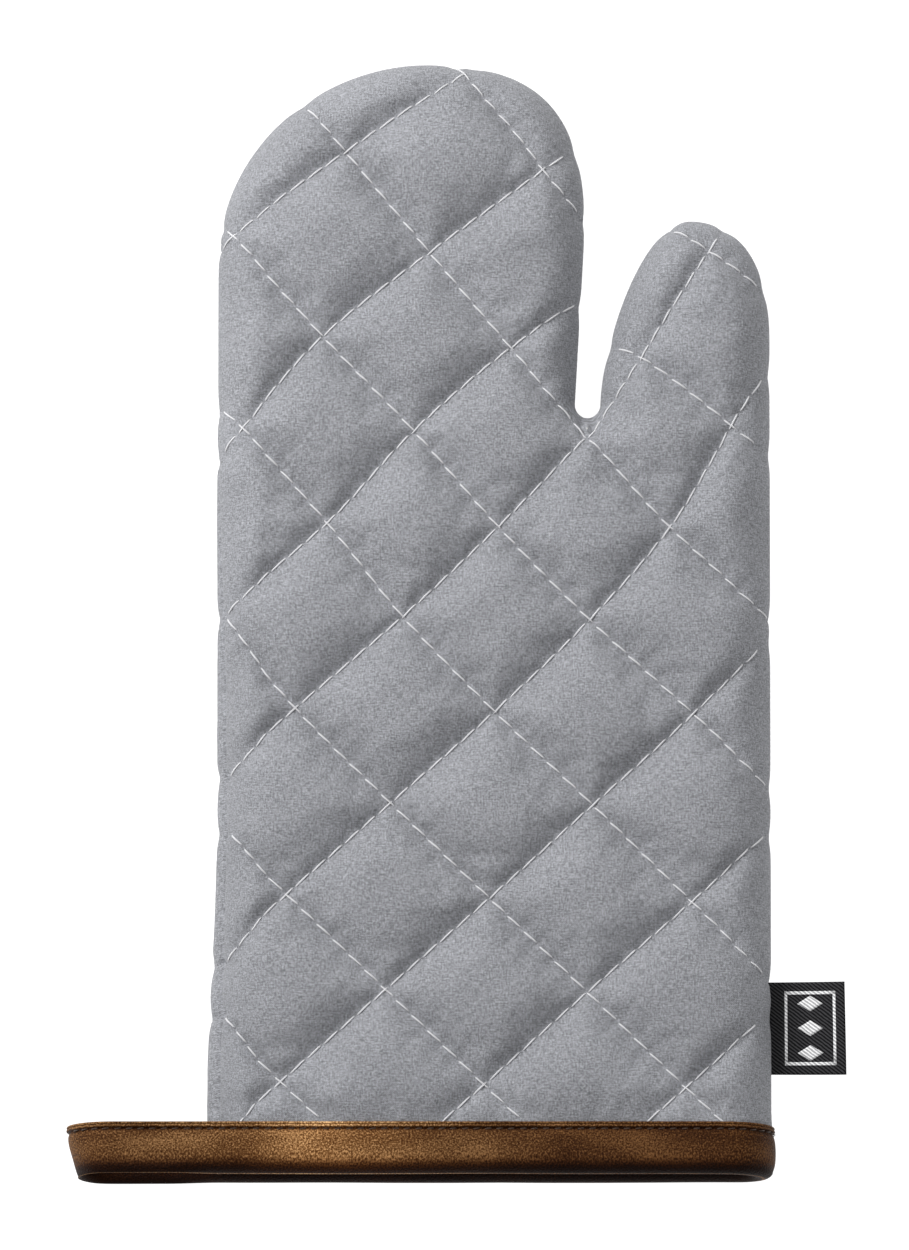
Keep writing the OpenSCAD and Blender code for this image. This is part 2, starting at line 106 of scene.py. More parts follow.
def smooth(t):
    t = np.clip(t, 0, 1)
    return t * t * (3 - 2 * t)


def unit(v):
    return v / np.maximum(np.linalg.norm(v, axis=-1, keepdims=True), 1e-9)


def bezier(points, count):
    p = np.array(points, float)
    t = np.linspace(0, 1, count)[:, None]
    s = 1 - t
    return s**3 * p[0] + 3 * s * s * t * p[1] + 3 * s * t * t * p[2] + t**3 * p[3]


def travelled(path):
    """Length along the path up to each of its points."""
    return np.concatenate([[0], np.cumsum(np.linalg.norm(np.diff(path, axis=0), axis=1))])


def sample(at, places, values):
    """The values, given at their places, read off in between."""
    return np.stack([np.interp(at, places, column) for column in values.T], 1)


def resample(path, step):
    """The same path with its points an even step apart."""
    along = travelled(path)
    count = max(2, int(round(along[-1] / step)) + 1)
    return sample(np.linspace(0, along[-1], count), along, path)


def catmull(points, count):
    """A smooth curve through the points."""
    p = np.array([2 * np.array(points[0]) - points[1], *points, 2 * np.array(points[-1]) - points[-2]])
    out = []
    for k in range(1, len(p) - 2):
        t = np.linspace(0, 1, count, endpoint=False)[:, None]
        a, b, c, d = p[k - 1 : k + 3]
        bend = (2 * a - 5 * b + 4 * c - d) * t**2 + (3 * b - a - 3 * c + d) * t**3
        out.append(0.5 * (2 * b + (c - a) * t + bend))
    return np.concatenate([*out, p[-2:-1]])


def inside(points, polygon):
    """Which points lie inside the polygon, by counting crossings."""
    x, y = points[:, 0][:, None], points[:, 1][:, None]
    a, b = polygon, np.roll(polygon, -1, 0)
    crosses = (a[:, 1] > y) != (b[:, 1] > y)
    rise = np.where(b[:, 1] == a[:, 1], 1e-9, b[:, 1] - a[:, 1])
    at = a[:, 0] + (y - a[:, 1]) * (b[:, 0] - a[:, 0]) / rise
    return (crosses & (x < at)).sum(1) % 2 == 1


def ripple(x, y, size, seed=0.0):
    """Smooth noise of about that size, from -1 to 1."""
    return np.array([noise.noise((a / size, b / size, seed)) for a, b in zip(x, y)])


# ---- outline of the mitt

def flare(y):
    t = np.clip((y - BINDING_Y) / (FLARE_Y - BINDING_Y), 0, 1)
    return FLARE * (1 + np.cos(np.pi * t)) / 2


def outline():
    """The seam's line, from the cuff's left end over the fingers and the thumb to its right end."""
    y = np.linspace(CUFF_Y, TIP_Y - 60, 120)
    crown = LEFT_X + 63
    hand = LEFT_X + HAND_W
    turn = np.linspace(math.pi, 2 * math.pi, 24)
    slot_y = CROTCH_Y + SLOT_R
    inner = SLOT_X + SLOT_R
    tip_x, thumb = inner + 26.8, THUMB_Y
    return resample(np.concatenate([
        np.stack([LEFT_X - flare(y), y], 1),
        bezier([(LEFT_X, TIP_Y - 60), (LEFT_X, TIP_Y - 27), (crown - 34.5, TIP_Y), (crown, TIP_Y)],
               60)[1:],
        bezier([(crown, TIP_Y), (crown + 33, TIP_Y), (hand, TIP_Y - 14.5), (hand, TIP_Y - 50)], 60)[1:],
        np.stack([SLOT_X + SLOT_R * np.cos(turn), slot_y + SLOT_R * np.sin(turn)], 1),
        bezier([(inner, slot_y), (inner, slot_y + 15.5), (inner + 12, thumb), (tip_x, thumb)], 50)[1:],
        bezier([(tip_x, thumb), (tip_x + 14.2, thumb), (RIGHT_X, thumb - 11), (RIGHT_X, thumb - 36)],
               50)[1:],
        np.array([[RIGHT_X, CUFF_Y]]),
    ]), 1.0)


OUTLINE = outline()


def nearest(points, path=OUTLINE):
    """Distance to the path, and the closest point on it."""
    a, b = path[:-1], path[1:]
    edge = b - a
    long = (edge**2).sum(1)
    best = np.full(len(points), 1e9)
    foot = np.zeros((len(points), 2))
    for k in range(0, len(points), 2000):
        p = points[k : k + 2000, None]
        t = np.clip(((p - a) * edge).sum(2) / long, 0, 1)
        q = a + t[..., None] * edge
        gap = np.linalg.norm(p - q, axis=2)
        i = gap.argmin(1)
        rows = np.arange(len(i))
        best[k : k + 2000] = gap[rows, i]
        foot[k : k + 2000] = q[rows, i]
    return best, foot


def closest(points, targets):
    """Distance to the nearest target point, and which one that is."""
    far, which = np.zeros(len(points)), np.zeros(len(points), int)
    for k in range(0, len(points), 1000):
        gap = np.linalg.norm(points[k : k + 1000, None] - targets[None], axis=2)
        far[k : k + 1000], which[k : k + 1000] = gap.min(1), gap.argmin(1)
    return far, which


def edge_normals(path):
    """Unit vectors to the right of a path; along the outline they point into the mitt."""
    along = unit(np.gradient(path, axis=0))
    return np.stack([along[:, 1], -along[:, 0]], 1)


OUTLINE_N = edge_normals(OUTLINE)


def inward(points, d, foot):
    """Direction from the outline to each point; on the outline itself, its own normal."""
    out = unit(points - foot)
    on_edge = np.where(d < 0.3)[0]
    k = ((foot[on_edge, None] - OUTLINE[None]) ** 2).sum(2).argmin(1)
    out[on_edge] = OUTLINE_N[k]
    return out


def seam_inset(foot):
    """How far the side seam lies in from the left edge, towards the palm."""
    y = foot[:, 1]
    wide = 2.8 * smooth((236 - y) / 110) + 1.4 * smooth((105 - y) / 90)
    return np.where(foot[:, 0] < LEFT_X + 20, wide, 0.0)


class Plan:
    """Plan points with what is needed to lay them on either side of the mitt."""

    def __init__(self, points):
        self.xy = points
        self.d, self.foot = nearest(points)
        self.n = inward(points, self.d, self.foot)
        self.inset = seam_inset(self.foot)

    def shell(self, side):
        """Points and outward normals on the front (side 1) or back (side -1) surface."""
        radius = FRONT_R if side > 0 else BACK_R
        psi = np.arcsin(1 - np.clip(self.d / radius, 0, 1))
        wrap = np.arccos(1 - self.inset / BACK_R)
        if side > 0:
            seam = SEAM_Z + BACK_R * np.sin(wrap)
            rise = SEAM_Z + FRONT_R - seam
            reach = radius - self.inset
            off = self.inset + reach * (1 - np.sin(psi))
            z = seam + rise * np.cos(psi)
            lean, up = np.sin(psi) / reach, np.cos(psi) / rise
        else:
            psi = psi * (1 + wrap * 2 / np.pi)
            off = radius * (1 - np.sin(psi))
            z = SEAM_Z - radius * np.cos(psi)
            lean, up = np.sin(psi), -np.cos(psi)
        rolled = self.d < radius
        xy = np.where(rolled[:, None], self.foot + self.n * off[:, None], self.xy)
        normal = unit(np.column_stack([-self.n * np.where(rolled, lean, 0)[:, None], up]))
        return np.column_stack([xy, z]), normal

    def cloth(self, side):
        """The same points with the roll laid flat, for the weave."""
        radius = FRONT_R if side > 0 else BACK_R
        psi = np.arcsin(1 - np.clip(self.d / radius, 0, 1))
        flat = self.foot + self.n * (radius * (1 - psi))[:, None]
        return np.where((self.d < radius)[:, None], flat, self.xy)


# ---- quilting lines

LATTICE_WOBBLE = 0.6     # unevenness of the crossings
LATTICE_DROP = 4.25      # shift and scale of the rows along the mitt
LATTICE_SCALE = 0.9877
DOWN_SHARE = 0.87        # share of the pitch that shows as thread, on lines down to the right
UP_SHARE = 0.96          # and on lines up to the right


def lattice(a, b, side, thumb=False):
    """Crossing number (a, b) of the quilting lines: a steps down to the right, b up to the right.

    The thumb has its own, steeper rows from b = 2 on.
    """
    if thumb and b >= 2:
        x, y = 42.9 + 27.5 * a + 20.9 * (b - 2), 244.6 - 20.4 * a + 31.9 * (b - 2)
        if a < 0:
            y += (34 - 5 * b) * a + 14
    else:
        x, y = 1.5 + 29.0 * a + 30.5 * b, 194.6 - 27.8 * a + 27.0 * b
        x *= 1 - 0.16 * math.exp(-(((y - 207) / 45) ** 2))
        x += 0.16 * max(0.0, y - 235)
        y -= 0.07 * (x + 45) * float(smooth((y - 235) / 25))
    x += LATTICE_WOBBLE * noise.noise((a * 1.7, b * 2.3, side * 3.1))
    y += LATTICE_WOBBLE * noise.noise((a * 2.1, b * 1.9, side * 5.3 + 9))
    return np.array([x, (y - LATTICE_DROP) / LATTICE_SCALE])


SPLIT = catmull([lattice(a, 1, 1) for a in (0, 1, 2, 3)], 30)
THUMB_REGION = np.concatenate([[[SLOT_X, 300], [SLOT_X, CROTCH_Y]], SPLIT[SPLIT[:, 0] < 95],
                               [[100, 300]]])


def quilt_lines(side):
    """[(plan points a quarter stitch apart, share of the pitch that shows as thread)].

    On the front, the thumb's own rows stop at the thumb's edge, and the hand's rows before it.
    """
    lines = []
    runs = [(True, b, thumb) for b in range(-7, 6) for thumb in ((False, True) if b >= 2 else (False,))]
    runs += [(False, a, a >= 0) for a in range(-7, 9)]
    for along_a, fixed, thumb in runs:
        thumb = thumb and side > 0
        first = -1 if thumb and along_a else -8
        steps = [(k, fixed) if along_a else (fixed, k) for k in range(first, 9)]
        path = catmull([lattice(a, b, side, thumb) for a, b in steps], 40)
        path = resample(path, STITCH_PITCH / 4)
        d, _ = nearest(path)
        keep = inside(path, OUTLINE) & (d > 0.5)
        if side > 0 and along_a and fixed >= 2:
            keep &= inside(path, THUMB_REGION) == thumb
        elif side > 0 and not along_a and not thumb:
            keep &= ~inside(path, THUMB_REGION)
        index = np.arange(len(path))
        for piece in np.split(index, np.where(np.diff(keep.astype(int)) != 0)[0] + 1):
            if keep[piece[0]] and len(piece) > 5:
                lines.append((path[piece], DOWN_SHARE if along_a else UP_SHARE))
    return lines


def line_ends():
    """Where the palm side's quilting lines run into the outline."""
    ends = np.array([p for path, _ in quilt_lines(1) for p in (path[0], path[-1])])
    d, foot = nearest(ends)
    return foot[d < 4]


LINE_ENDS = line_ends()


# ---- plan mesh

def plan_mesh(side):
    """Plan points and triangles that follow the outline and the quilting lines.

    Also gives which points lie on a line, and their place in the stitch pitch.
    """
    spacing = 2.5
    # The outline, with its points closer together round the bottom of the slot.
    paths, spans = (resample(OUTLINE, 1.8), resample(OUTLINE, 0.9)), []
    for path in paths:
        near = np.where(np.linalg.norm(path - [SLOT_X, CROTCH_Y + 4], axis=1) < 12)[0]
        spans.append((near[0], near[-1] + 1))
    (a, b), (c, d) = spans
    rim = np.concatenate([paths[0][:a], paths[1][c:d], paths[0][b:]])
    normals = edge_normals(rim)
    xs = np.arange(rim[-1, 0] - spacing, rim[0, 0] + 1, -spacing)
    border = np.concatenate([rim, np.column_stack([xs, np.full(len(xs), CUFF_Y)])])
    count = len(border)
    border_edges = [(k, (k + 1) % count) for k in range(count)]

    line_points, phases = [], []
    taken = np.zeros((0, 2))
    pleats = [resample(np.array([[SLOT_X + gap, CROTCH_Y - 1.4], SPLIT[0] + [gap, 1.2]]), 1.2)
              for gap in (-PLEAT_GAP, 0, PLEAT_GAP)]
    for path in [p for p, _ in quilt_lines(side)] + pleats:
        phase = (np.arange(len(path)) % 4) / 4
        if len(taken):
            free = np.array([((taken - p) ** 2).sum(1).min() > 0.8**2 for p in path])
            path, phase = path[free], phase[free]
        line_points.append(path)
        phases.append(phase)
        taken = np.concatenate([taken, path])
    lines = np.concatenate(line_points)
    phase = np.concatenate(phases)

    rings = []
    for k, depth in enumerate((0.1, 0.5, 1.3, 2.8, 4.7)):
        ring = rim[k % 2 :] + normals[k % 2 :] * depth
        d, _ = nearest(ring)
        good = (d > depth * 0.9) & (ring[:, 1] > CUFF_Y - 0.01) & inside(ring, OUTLINE)
        rings.append(ring[good | ((ring[:, 1] < CUFF_Y + 0.01) & (d > depth * 0.9))])
    rings = np.concatenate(rings)
    rows = []
    for k, y in enumerate(np.arange(CUFF_Y + 1.8, TIP_Y, spacing * 0.87)):
        xs = np.arange(LEFT_X - 4 + (k % 2) * spacing / 2, RIGHT_X, spacing)
        rows.append(np.column_stack([xs, np.full(len(xs), y)]))
    grid = np.concatenate(rows)
    grid = grid[inside(grid, OUTLINE)]
    grid = grid[nearest(grid)[0] > 6.2]
    fill = np.concatenate([rings, grid])
    fill_gap = np.concatenate([np.full(len(rings), 0.75), np.full(len(grid), 1.35)])
    clear = closest(fill, lines)[0] > fill_gap
    points = np.concatenate([border, lines, fill[clear]])
    found = delaunay_2d_cdt([Vector(p) for p in points], border_edges, [], 0, 1e-4)
    xy = np.array([tuple(p) for p in found[0]])
    faces = np.array([f for f in found[2] if len(f) == 3])
    whole = np.concatenate([OUTLINE, [[RIGHT_X, CUFF_Y], [LEFT_X - FLARE, CUFF_Y]]])
    faces = faces[inside(xy[faces].mean(1), whole)]
    area = np.cross(xy[faces[:, 1]] - xy[faces[:, 0]], xy[faces[:, 2]] - xy[faces[:, 0]])
    faces[area < 0] = faces[area < 0][:, ::-1]
    faces = faces[np.abs(area) > 1e-4]
    used = np.unique(faces)
    place = np.full(len(xy), -1)
    place[used] = np.arange(len(used))
    xy, faces = xy[used], place[faces]
    near_line, spot = closest(xy, lines)
    return xy, faces, near_line, phase[spot]


# ---- meshes

def link(name, verts, faces, uv=None):
    """A new object from points in millimetres."""
    mesh = bpy.data.meshes.new(name)
    faces = [tuple(int(i) for i in f) for f in faces]
    mesh.from_pydata((np.asarray(verts, float) * MM).tolist(), [], faces)
    if uv is not None:
        layer = mesh.uv_layers.new(name="cloth")
        corner = np.empty(len(mesh.loops), int)
        mesh.loops.foreach_get("vertex_index", corner)
        layer.data.foreach_set("uv", (np.asarray(uv)[corner]).astype(np.float32).ravel())
    mesh.update()
    mesh.polygons.foreach_set("use_smooth", [True] * len(mesh.polygons))
    obj = bpy.data.objects.new(name, mesh)
    scene.collection.objects.link(obj)
    return obj


def weld(obj):
    """Joins points that lie on each other."""
    work = bmesh.new()
    work.from_mesh(obj.data)
    bmesh.ops.remove_doubles(work, verts=work.verts, dist=1e-7)
    work.to_mesh(obj.data)
    work.free()


def positions(mesh):
    out = np.empty(len(mesh.vertices) * 3)
    mesh.vertices.foreach_get("co", out)
    return out.reshape(-1, 3)


def subset(verts, faces, uv, keep):
    """Only the kept faces, with the points they use."""
    faces = [f for f, k in zip(faces, keep) if k]
    used = sorted({i for f in faces for i in f})
    place = {v: k for k, v in enumerate(used)}
    return verts[used], [[place[i] for i in f] for f in faces], uv[used]


def border_loops(faces):
    """Edges that only one face has, in the direction of that face."""
    edges = dict.fromkeys((int(a), int(b)) for f in faces for a, b in zip(f, np.roll(f, -1)))
    return [(a, b) for a, b in edges if (b, a) not in edges]


def closed(faces, count):
    """The faces, the same ones turned over on a second set of points, and walls along the border."""
    walls = [[b, a, a + count, b + count] for a, b in border_loops(faces)]
    return faces + [[i + count for i in f[::-1]] for f in faces] + walls


def grid_faces(across, up):
    """Quads of a grid of points that runs row by row."""
    return [[j * across + i, j * across + i + 1, (j + 1) * across + i + 1, (j + 1) * across + i]
            for j in range(up - 1) for i in range(across - 1)]


def sleeve(rows, around):
    """Quads of a sleeve of points that runs ring by ring."""
    corners = [(0, 0), (1, 0), (1, 1), (0, 1)]
    return [[(k + dk) * around + (i + di) % around for dk, di in corners]
            for k in range(rows - 1) for i in range(around)]


class Pile:
    """Collects many small meshes into one."""

    def __init__(self):
        self.verts, self.faces, self.uv, self.count = [], [], [], 0

    def add(self, verts, faces, uv):
        self.verts.append(np.asarray(verts))
        self.uv.append(np.asarray(uv))
        self.faces += [[i + self.count for i in f] for f in faces]
        self.count += len(verts)

    def link(self, name):
        return link(name, np.concatenate(self.verts), self.faces, np.concatenate(self.uv))


def tube(path, radii, hint, sides=6):
    """A closed tube along the path; hint is a direction across it."""
    path = np.asarray(path, float)
    along = unit(np.gradient(path, axis=0))
    across = unit(np.cross(along, hint))
    up = np.cross(across, along)
    turn = np.arange(sides) * 2 * np.pi / sides
    ring = np.cos(turn)[None, :, None] * across[:, None] + np.sin(turn)[None, :, None] * up[:, None]
    verts = (path[:, None] + ring * np.asarray(radii)[:, None, None]).reshape(-1, 3)
    faces = [f[:1] + f[:0:-1] for f in sleeve(len(path), sides)]
    faces += [list(range(sides))[::-1], list(range(len(verts) - sides, len(verts)))]
    uv = np.broadcast_arrays(travelled(path)[:, None], (turn / (2 * np.pi))[None])
    return verts, faces, np.stack(uv, -1).reshape(-1, 2)


# ---- quilted panels

REST_FROM = 1.2   # below this height the back is pressed flat
REST_Z = 0.15     # and never comes lower than this
PLEAT_GAP = 1.3   # half the distance between the two small folds under the crotch
PILLOW = 2.9      # height of the padding between the quilting lines
VALLEY = 2.0      # how far a quilting line is pulled below the plain surface
DOME = 14.0       # distance from a line at which the padding is at its highest
SIM_SCALE = 10.0  # the cloth is simulated this much larger
SIM_FRAMES = 22
SIM_CAP = 2.6     # the furthest that the simulation may move a point
ENDS_RISE = 3.0   # how far above the cuff's edge the layers end, inside the tape's fold
COVER_T = 0.75    # depth of the padding's outer face
PAD_DEPTH = 5.7   # depth of its inner face
LINING_DEPTH = 6.4
PINCH = 1.3       # how much thinner the padding is at a quilting line
LAYER_GAP = 0.25  # clearance between the layers
THREAD_R = 0.27   # radius of the quilting thread


def relief(plan, near_line, phase, side):
    """Height over the plain shell before the cloth is simulated."""
    t = np.clip(near_line / DOME, 0, 1)
    dome = np.sqrt(np.clip(1 - (1 - t) ** 2.2, 0, 1))
    edge = smooth((plan.d - 2) / 12)
    height = -VALLEY * (0.25 + 0.75 * edge) + PILLOW * dome * (0.12 + 0.88 * edge)
    height -= 0.9 * np.exp(-near_line / 1.8) * edge
    height -= 0.34 * np.cos(2 * np.pi * phase) * np.exp(-near_line / 2.4)
    x, y = plan.xy.T
    height += 0.32 * ripple(x, y, 17, side) * smooth(near_line / 8)
    height += 0.3 * ripple(x * 0.8 + y * 0.2, y * 1.6, 6.5, side + 4) * np.exp(-near_line / 5)
    # The binding holds the cuff flat, and the seam holds the edge.
    cuff = 1 - smooth((plan.xy[:, 1] - BINDING_Y + 2) / 11)
    return (height * (1 - cuff) - 0.5 * cuff) * smooth(plan.d / 1.6)


def edge_pull(plan):
    """The seam's groove all round, and a dent where a quilting line runs into the edge."""
    arc = BACK_R * np.arccos(1 - np.clip(plan.d / BACK_R, 0, 1))
    groove = 2.2 * np.exp(-(arc / 1.0) ** 2) * smooth((plan.foot[:, 1] - BINDING_Y + 2) / 8)
    gap = np.linalg.norm(plan.foot[:, None] - LINE_ENDS[None], axis=2).min(1)
    dent = 0.5 * np.exp(-(gap / 3.4) ** 2) * (1 - smooth(plan.d / 9))
    dent *= smooth((plan.foot[:, 1] - BINDING_Y - 4) / 8)
    return plan.n * (groove + dent)[:, None]


def simulate(verts, faces, pinned):
    """Blows the cloth up between its quilting lines and gives the new points, in millimetres."""
    obj = link("panel_sim", verts * SIM_SCALE, faces)
    group = obj.vertex_groups.new(name="held")
    group.add([int(i) for i in np.where(pinned)[0]], 1.0, "REPLACE")
    cloth = obj.modifiers.new("cloth", "CLOTH")
    s = cloth.settings
    s.quality = 5
    s.mass = 0.3
    s.tension_stiffness = 18
    s.compression_stiffness = 12
    s.shear_stiffness = 6
    s.bending_stiffness = 0.6
    s.tension_damping = 8
    s.compression_damping = 8
    s.air_damping = 2
    s.vertex_group_mass = "held"
    s.shrink_min = -0.035
    s.use_pressure = True
    s.uniform_pressure_force = 3.2
    s.effector_weights.gravity = 0
    cloth.collision_settings.use_collision = False
    cloth.point_cache.frame_start = 1
    cloth.point_cache.frame_end = SIM_FRAMES
    for f in range(1, SIM_FRAMES + 1):
        scene.frame_set(f)
    shaped = obj.evaluated_get(bpy.context.evaluated_depsgraph_get())
    out = positions(shaped.data) / MM / SIM_SCALE
    bpy.data.objects.remove(obj)
    scene.frame_set(1)
    return out


def normals_of(verts, faces):
    """Area-weighted vertex normals."""
    face_n = np.cross(verts[faces[:, 1]] - verts[faces[:, 0]], verts[faces[:, 2]] - verts[faces[:, 0]])
    out = np.zeros_like(verts)
    for k in range(3):
        np.add.at(out, faces[:, k], face_n)
    return unit(out)


def smooth_once(verts, faces, hold):
    """Each free point moves part of the way to the middle of its neighbours."""
    total = np.zeros_like(verts)
    weight = np.zeros(len(verts))
    for a, b in ((0, 1), (1, 2), (2, 0)):
        for i, j in ((a, b), (b, a)):
            np.add.at(total, faces[:, i], verts[faces[:, j]])
            np.add.at(weight, faces[:, i], 1)
    middle = total / weight[:, None]
    return np.where(hold[:, None], verts, verts + 0.35 * (middle - verts))


def panel(side):
    """One quilted side: plan, faces, plain shell and its normals, quilted points, distance to a line."""
    xy, faces, near_line, phase = plan_mesh(side)
    plan = Plan(xy)
    base, normal = plan.shell(side)
    if side < 0:
        faces = faces[:, ::-1].copy()
    base[:, :2] += edge_pull(plan)
    start = base + normal * relief(plan, near_line, phase, side)[:, None]
    across = np.abs(plan.xy[:, 0] - SLOT_X) - PLEAT_GAP
    pleat = np.exp(-(across / 0.7) ** 2) * smooth((CROTCH_Y - plan.xy[:, 1]) / 3)
    pleat = pleat * smooth((plan.xy[:, 1] - SPLIT[0][1] + 2) / 4)
    start -= normal * (2.6 * pleat)[:, None]
    final = start
    cuff = plan.xy[:, 1] < BINDING_Y + 0.8
    pinned = (near_line < 0.1) | (plan.d < 1.0) | cuff
    moved = simulate(start, faces, pinned) - start
    far = np.linalg.norm(moved, axis=1, keepdims=True)
    held = 0.15 + 0.85 * smooth((plan.d - 1) / 12)[:, None]
    final = start + moved * np.minimum(1, SIM_CAP / np.maximum(far, 1e-6)) * held
    final = smooth_once(final, faces, pinned)
    if side < 0:
        # The back lies flat where it rests.
        z, give = final[:, 2], REST_FROM - REST_Z
        pressed = REST_Z + give * np.exp((np.minimum(z, REST_FROM) - REST_FROM) / give)
        final[:, 2] = np.where(z < REST_FROM, pressed, z)
    for points in (base, final):
        # All layers end a little inside the tape's fold.
        points[:, 1] += ENDS_RISE * (1 - smooth(points[:, 1] / 10))
    return plan, faces, base, normal, final, near_line


def hand_blend(obj):
    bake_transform(obj)


def thumb_blend(obj):
    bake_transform(obj)


def dress(obj, slot_name, bend, *nodes):
    """Gives a piece the material of its slot, places it with the given function, which bakes its
    transform or hangs it on a body, and hides the nodes that it replaces.
    """
    obj.data.materials.append(MATERIAL[slot_name])
    bend(obj)
    if nodes:
        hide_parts(*nodes)


PARTS = ("hand", "thumb_part")


def dress_part(obj, part, slot_name, stem):
    """The same for one part of a layer that is split at the thumb."""
    bend, ends = (hand_blend, ("palm", "fingers")) if part == "hand" else (thumb_blend, ("thumb",))
    dress(obj, slot_name, bend, *[f"{stem}_{end}" for end in ends])


def hand_over(stem, verts, faces, uv, on_thumb, slot_name):
    """Splits a layer at the thumb, and links and dresses both pieces."""
    out = []
    for part in PARTS:
        out.append(link(f"{stem}_{part}", *subset(verts, faces, uv, on_thumb == (part == "thumb_part"))))
        dress_part(out[-1], part, slot_name, stem)
    return out


def subdivided(verts, faces, uv):
    """One step of subdivision, applied."""
    obj = link("dense", verts, faces, uv)
    obj.modifiers.new("dense", "SUBSURF").levels = 1
    shaped = obj.evaluated_get(bpy.context.evaluated_depsgraph_get())
    mesh = bpy.data.meshes.new_from_object(shaped)
    out = positions(mesh) / MM
    quads = [list(p.vertices) for p in mesh.polygons]
    layer = np.empty(len(mesh.loops) * 2, np.float32)
    mesh.uv_layers["cloth"].data.foreach_get("uv", layer)
    corner = np.empty(len(mesh.loops), int)
    mesh.loops.foreach_get("vertex_index", corner)
    flat = np.zeros((len(out), 2))
    flat[corner] = layer.reshape(-1, 2)
    bpy.data.objects.remove(obj)
    bpy.data.meshes.remove(mesh)
    return out, quads, flat


def stitches(stem, side, verts, faces):
    """Single stitches along every quilting line, lying in the finished cloth."""
    tree = BVHTree.FromPolygons(verts.tolist(), faces)
    piles = {part: Pile() for part in PARTS}
    for path, share in quilt_lines(side):
        plan = Plan(path)
        base, normal = plan.shell(side)
        spots, ups = [], []
        for p, n in zip(base, normal):
            hit, up, _, _ = tree.ray_cast(Vector(p + n * 9), Vector(-n), 18)
            if hit is None:
                hit, up, _, _ = tree.find_nearest(Vector(p))
            spots.append(hit)
            ups.append(n * 0.7 + np.array(up) * 0.3)
        spots, ups = np.array(spots), unit(np.array(ups))
        for k in range(0, len(path) - 3, 4):
            low = k + 2 * (1 - share) + random.uniform(-0.12, 0.12)
            high = min(k + 4 - 2 * (1 - share) + random.uniform(-0.12, 0.12), len(path) - 1)
            at = np.linspace(low, high, 7)
            index = np.arange(len(path))
            mid, up = sample(at, index, spots), unit(sample(at, index, ups))
            t = np.linspace(-1, 1, 7)
            lift = 0.2 - 0.62 * t**8
            thick = THREAD_R * np.array([0.6, 0.95, 1, 1.05, 1, 0.95, 0.6])
            slant = np.cross(up.mean(0), mid[-1] - mid[0])
            mid += np.outer(0.2 * t, unit(slant))
            part = PARTS[int(inside(path[k + 2 : k + 3], THUMB_REGION)[0])]
            piles[part].add(*tube(mid + up * lift[:, None], thick, up.mean(0)))
    for part in PARTS:
        dress_part(piles[part].link(f"{stem}_{part}"), part, "white_thread", stem)


def build_side(side):
    stem = "front" if side > 0 else "back"
    plan, faces, base, normal, final, near_line = panel(side)
    uv = plan.cloth(side)
    on_thumb = inside(plan.xy[faces].mean(1), THUMB_REGION)

    dense, quads, dense_uv = subdivided(final, faces, uv)
    # Quads come three to a triangle, in the triangles' own order.
    quad_on_thumb = np.repeat(on_thumb, 3)
    for obj in hand_over(f"{stem}_cover", dense, quads, dense_uv, quad_on_thumb, "cover_fabric"):
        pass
    stitches(f"{stem}_quilting", side, dense, quads)

    # Batting: a closed pad under the cover, thinner along the quilting.
    pinch = PINCH * np.exp(-near_line / 5)
    top = final - normals_of(final, faces) * COVER_T
    low = base - normal * (PAD_DEPTH - pinch)[:, None]
    top[:, 2] += LAYER_GAP * side
    low[:, 2] += LAYER_GAP * side
    for part in PARTS:
        both, some, flat = subset(np.column_stack([top, low]), faces.tolist(), uv,
                                  on_thumb == (part == "thumb_part"))
        obj = link(f"{stem}_padding_{part}", np.concatenate([both[:, :3], both[:, 3:]]),
                   closed(some, len(both)), np.concatenate([flat, flat]))
        dress_part(obj, part, "batting", f"{stem}_batting")

    # Lining: a thin sheet inside, drawn up a little along the quilting.
    waves = 0.25 * ripple(plan.xy[:, 0], plan.xy[:, 1], 21, side * 7)
    inner = base - normal * (LINING_DEPTH - pinch + waves)[:, None]
    inner[:, 2] += 2 * LAYER_GAP * side
    keep = plan.xy[faces].min(1)[:, 1] > CUFF_Y + 0.5
    turned = faces[keep][:, ::-1].tolist()
    for obj in hand_over(f"{stem}_lining", inner, turned, uv, on_thumb[keep], "lining"):
        span = positions(obj.data)


# ---- seam thread

def seam_thread():
    """One closed run of thread inside the seam, for the hand and for the thumb."""
    path = resample(OUTLINE, 2.5)
    path = path[path[:, 1] > BINDING_Y * 0.6]
    plan = Plan(path)
    base, _ = plan.shell(1)
    base[:, :2] += plan.n * 2.6
    on_thumb = inside(path + plan.n * 0.5, THUMB_REGION).astype(int)
    piles = [Pile(), Pile()]
    for run in np.split(np.arange(len(path)), np.where(np.diff(on_thumb) != 0)[0] + 1):
        if len(run) > 2:
            piles[on_thumb[run[0]]].add(*tube(base[run], np.full(len(run), 0.25), (0, 0, 1)))
    for pile, part in zip(piles, PARTS):
        dress_part(pile.link(f"seam_thread_{part}"), part, "white_thread", "seam_thread")


# ---- binding tape and loop

TAPE_GAP = 0.25   # between the cuff and the tape
TAPE_T = 0.62     # thickness
FOLD_AT = 16.0    # the tape's own cross coordinate at the bottom of its fold
TAPE_STEP = 1.6   # between two cross sections
LOOP_END_X = loop_low[0]


